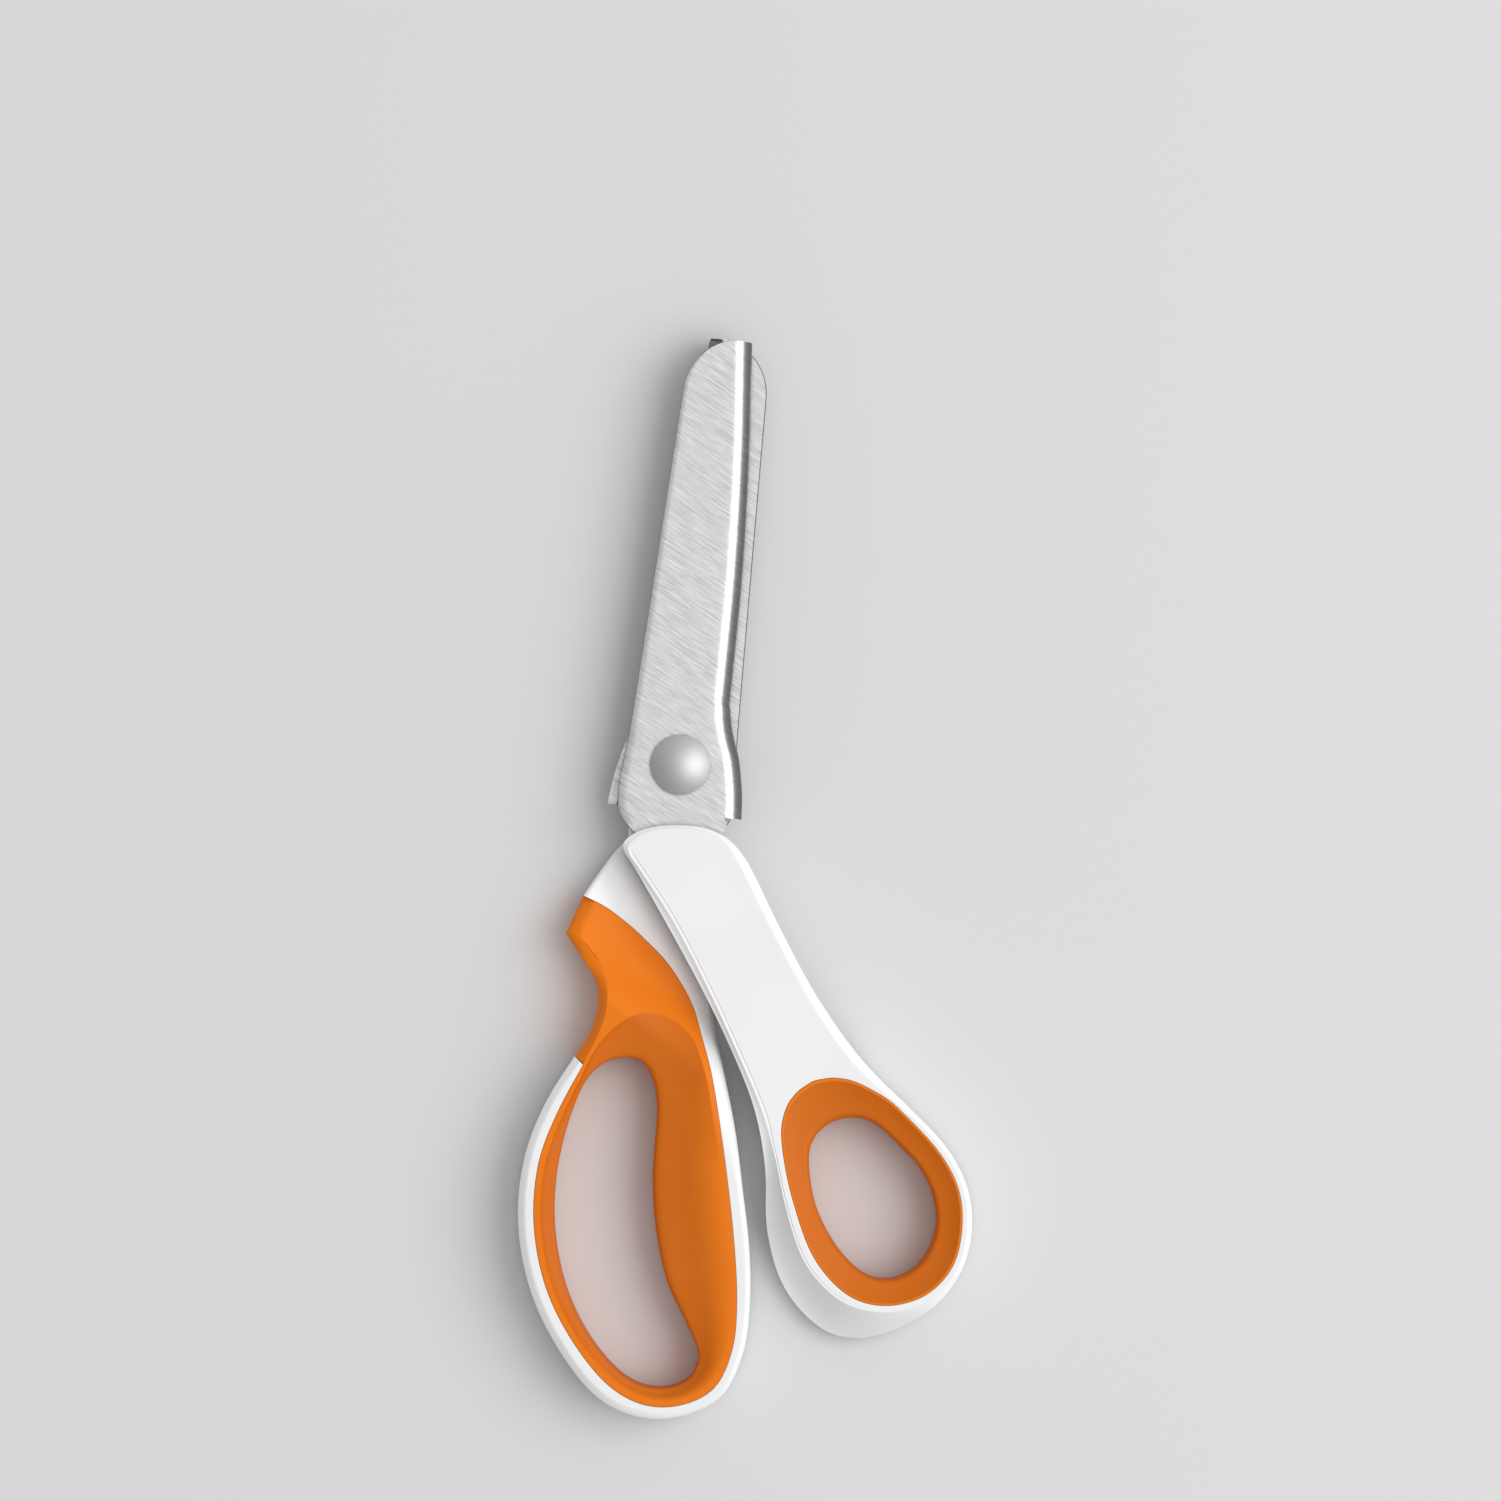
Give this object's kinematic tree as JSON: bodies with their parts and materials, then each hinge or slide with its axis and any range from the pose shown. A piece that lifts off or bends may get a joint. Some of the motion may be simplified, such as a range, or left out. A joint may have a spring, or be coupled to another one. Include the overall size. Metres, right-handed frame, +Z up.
{
  "type": "pinking shears",
  "caption": "Pinking shears with zigzag-edged bent steel blades on a domed pivot, one small thumb loop and one long finger loop with soft linings.",
  "frame": {"origin": "centre of the bounding box's base, with the shears lying flat and closed", "axes": "+Y along the blades towards the tips, +Z up through the front blade's face, so the pivot's axis is +Z"},
  "size_m": [0.1008, 0.2398, 0.0148],
  "materials": {
    "blade_steel": "fine diagonal brushing",
    "fastener_steel": "satin",
    "white_plastic": "satin white",
    "orange_grip": "matt soft orange"
  },
  "bodies": {
    "finger_half": {"back_blade": "blade_steel", "finger_handle": "white_plastic", "finger_grip": "orange_grip", "pivot_bolt": "fastener_steel", "head_washer": "fastener_steel", "blade_spacer": "fastener_steel", "spring_washer": "fastener_steel", "pivot_nut": "fastener_steel"},
    "thumb_half": {"front_blade": "blade_steel", "thumb_handle": "white_plastic", "thumb_grip": "orange_grip"}
  },
  "joints": [
    {"name": "blade_pivot", "type": "hinge", "parent": "finger_half", "child": "thumb_half", "pos_m": [-0.0262, 0.0249, 0.0075], "axis": [0, 0, 1], "range_deg": [0, 50]}
  ]
}
